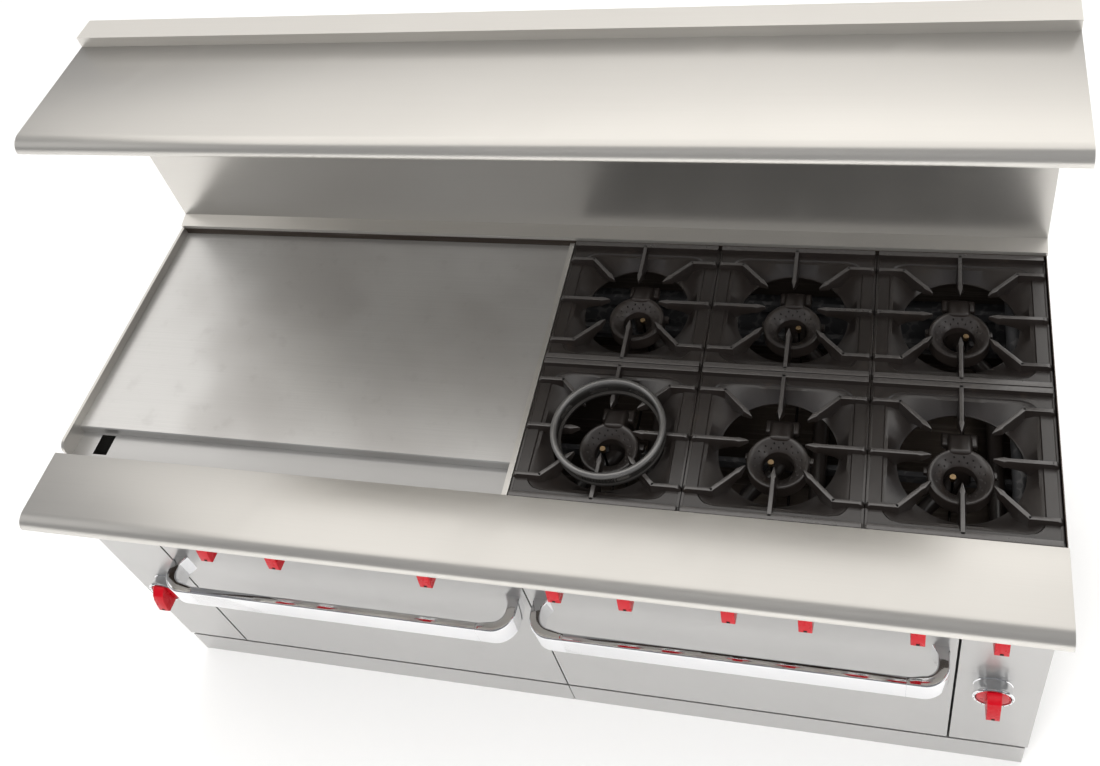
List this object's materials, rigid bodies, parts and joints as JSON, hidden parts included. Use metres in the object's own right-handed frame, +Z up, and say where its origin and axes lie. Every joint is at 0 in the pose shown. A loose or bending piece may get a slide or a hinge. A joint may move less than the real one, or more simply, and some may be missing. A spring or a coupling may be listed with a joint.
{
  "type": "commercial gas range",
  "caption": "Heavy-duty gas range with a griddle, open burners under cast grates, two ovens, red control knobs, a landing ledge and a high shelf over a flue riser.",
  "frame": {"origin": "on the floor under the middle of the overall box", "axes": "+X to the right seen from the front, +Y from the front to the back, +Z up"},
  "size_m": [1.8288, 0.828, 1.289],
  "materials": {
    "stainless": "brushed",
    "griddle_steel": "ground and lightly used",
    "chrome": "polished",
    "cast_iron": "seasoned semi-gloss",
    "red_plastic": "glossy",
    "black_paint": "satin",
    "enamel": "baked enamel",
    "tray_steel": "plain mill",
    "zinc_steel": "zinc plated",
    "brass": "machined"
  },
  "bodies": {
    "range_body": {"side_panel_left": "stainless", "side_panel_right": "stainless", "front_panel_left": "stainless", "front_panel_right": "stainless", "back_panel": "stainless", "control_panel": "stainless", "landing_ledge": "stainless", "kick_plates": "stainless", "riser": "stainless", "high_shelf": "stainless", "shelf_brackets": "stainless", "flue_cap": "stainless", "griddle_splash": "stainless", "griddle_trough": "stainless", "divider_strip": "stainless", "burner_box": "stainless", "fasteners": "stainless", "griddle_plate": "griddle_steel", "knob_bezels": "chrome", "burners_front": "cast_iron", "burners_back": "cast_iron", "base_frame": "black_paint", "gas_manifold": "black_paint", "burner_rails": "black_paint", "centre_divider": "black_paint", "oven_deck": "black_paint", "oven_liners": "enamel", "oven_face_frame": "enamel", "door_hinges": "zinc_steel", "oven_racks": "zinc_steel", "thermostats": "zinc_steel", "tube_burners": "zinc_steel", "gas_valves": "brass", "pilots": "brass"},
    "door_left": {"door_pan_left": "stainless", "door_liner_left": "enamel", "door_handle_left": "chrome"},
    "door_right": {"door_pan_right": "stainless", "door_liner_right": "enamel", "door_handle_right": "chrome"},
    "crumb_tray_body": {"crumb_tray": "tray_steel"},
    "grease_drawer_body": {"grease_drawer": "tray_steel"},
    "wok_ring_body": {"wok_ring": "cast_iron"},
    "griddle_knob_1_body": {"griddle_knob_1": "red_plastic"},
    "griddle_knob_2_body": {"griddle_knob_2": "red_plastic"},
    "griddle_knob_3_body": {"griddle_knob_3": "red_plastic"},
    "burner_knob_1_body": {"burner_knob_1": "red_plastic"},
    "burner_knob_2_body": {"burner_knob_2": "red_plastic"},
    "burner_knob_3_body": {"burner_knob_3": "red_plastic"},
    "burner_knob_4_body": {"burner_knob_4": "red_plastic"},
    "burner_knob_5_body": {"burner_knob_5": "red_plastic"},
    "burner_knob_6_body": {"burner_knob_6": "red_plastic"},
    "thermostat_knob_left_body": {"thermostat_knob_left": "red_plastic"},
    "thermostat_knob_right_body": {"thermostat_knob_right": "red_plastic"},
    "grate_front_1_body": {"grate_front_1": "cast_iron"},
    "grate_front_2_body": {"grate_front_2": "cast_iron"},
    "grate_front_3_body": {"grate_front_3": "cast_iron"},
    "grate_back_1_body": {"grate_back_1": "cast_iron"},
    "grate_back_2_body": {"grate_back_2": "cast_iron"},
    "grate_back_3_body": {"grate_back_3": "cast_iron"}
  },
  "joints": [
    {"name": "door_left_hinge", "type": "hinge", "parent": "range_body", "child": "door_left", "pos_m": [0, -0.309, 0.099], "axis": [1, 0, 0], "range_deg": [0, 90]},
    {"name": "door_right_hinge", "type": "hinge", "parent": "range_body", "child": "door_right", "pos_m": [0, -0.309, 0.099], "axis": [1, 0, 0], "range_deg": [0, 90]},
    {"name": "crumb_tray_slide", "type": "slide", "parent": "range_body", "child": "crumb_tray_body", "axis": [0, -1, 0], "range_m": [0, 0.4]},
    {"name": "grease_drawer_slide", "type": "slide", "parent": "range_body", "child": "grease_drawer_body", "axis": [0, -1, 0], "range_m": [0, 0.4]},
    {"name": "griddle_knob_1_turn", "type": "hinge", "parent": "range_body", "child": "griddle_knob_1_body", "pos_m": [-0.60168, -0.321, 0.637], "axis": [0, -1, 0], "range_deg": [0, 90]},
    {"name": "griddle_knob_2_turn", "type": "hinge", "parent": "range_body", "child": "griddle_knob_2_body", "pos_m": [-0.4572, -0.321, 0.637], "axis": [0, -1, 0], "range_deg": [0, 90]},
    {"name": "griddle_knob_3_turn", "type": "hinge", "parent": "range_body", "child": "griddle_knob_3_body", "pos_m": [-0.15179, -0.321, 0.637], "axis": [0, -1, 0], "range_deg": [0, 90]},
    {"name": "burner_knob_1_turn", "type": "hinge", "parent": "range_body", "child": "burner_knob_1_body", "pos_m": [0.0889, -0.321, 0.637], "axis": [0, -1, 0], "range_deg": [0, 90]},
    {"name": "burner_knob_2_turn", "type": "hinge", "parent": "range_body", "child": "burner_knob_2_body", "pos_m": [0.2159, -0.321, 0.637], "axis": [0, -1, 0], "range_deg": [0, 90]},
    {"name": "burner_knob_3_turn", "type": "hinge", "parent": "range_body", "child": "burner_knob_3_body", "pos_m": [0.3937, -0.321, 0.637], "axis": [0, -1, 0], "range_deg": [0, 90]},
    {"name": "burner_knob_4_turn", "type": "hinge", "parent": "range_body", "child": "burner_knob_4_body", "pos_m": [0.5207, -0.321, 0.637], "axis": [0, -1, 0], "range_deg": [0, 90]},
    {"name": "burner_knob_5_turn", "type": "hinge", "parent": "range_body", "child": "burner_knob_5_body", "pos_m": [0.6985, -0.321, 0.637], "axis": [0, -1, 0], "range_deg": [0, 90]},
    {"name": "burner_knob_6_turn", "type": "hinge", "parent": "range_body", "child": "burner_knob_6_body", "pos_m": [0.8255, -0.321, 0.637], "axis": [0, -1, 0], "range_deg": [0, 90]},
    {"name": "thermostat_left_turn", "type": "hinge", "parent": "range_body", "child": "thermostat_knob_left_body", "pos_m": [-0.832, -0.321, 0.363], "axis": [0, -1, 0], "range_deg": [0, 270]},
    {"name": "thermostat_right_turn", "type": "hinge", "parent": "range_body", "child": "thermostat_knob_right_body", "pos_m": [0.832, -0.321, 0.363], "axis": [0, -1, 0], "range_deg": [0, 270]},
    {"name": "grate_front_1_lift", "type": "slide", "parent": "range_body", "child": "grate_front_1_body", "axis": [0, 0, 1], "range_m": [0, 0.25]},
    {"name": "grate_front_2_lift", "type": "slide", "parent": "range_body", "child": "grate_front_2_body", "axis": [0, 0, 1], "range_m": [0, 0.25]},
    {"name": "grate_front_3_lift", "type": "slide", "parent": "range_body", "child": "grate_front_3_body", "axis": [0, 0, 1], "range_m": [0, 0.25]},
    {"name": "grate_back_1_lift", "type": "slide", "parent": "range_body", "child": "grate_back_1_body", "axis": [0, 0, 1], "range_m": [0, 0.25]},
    {"name": "grate_back_2_lift", "type": "slide", "parent": "range_body", "child": "grate_back_2_body", "axis": [0, 0, 1], "range_m": [0, 0.25]},
    {"name": "grate_back_3_lift", "type": "slide", "parent": "range_body", "child": "grate_back_3_body", "axis": [0, 0, 1], "range_m": [0, 0.25]},
    {"name": "wok_ring_lift", "type": "slide", "parent": "grate_front_1_body", "child": "wok_ring_body", "axis": [0, 0, 1], "range_m": [0, 0.2]}
  ]
}
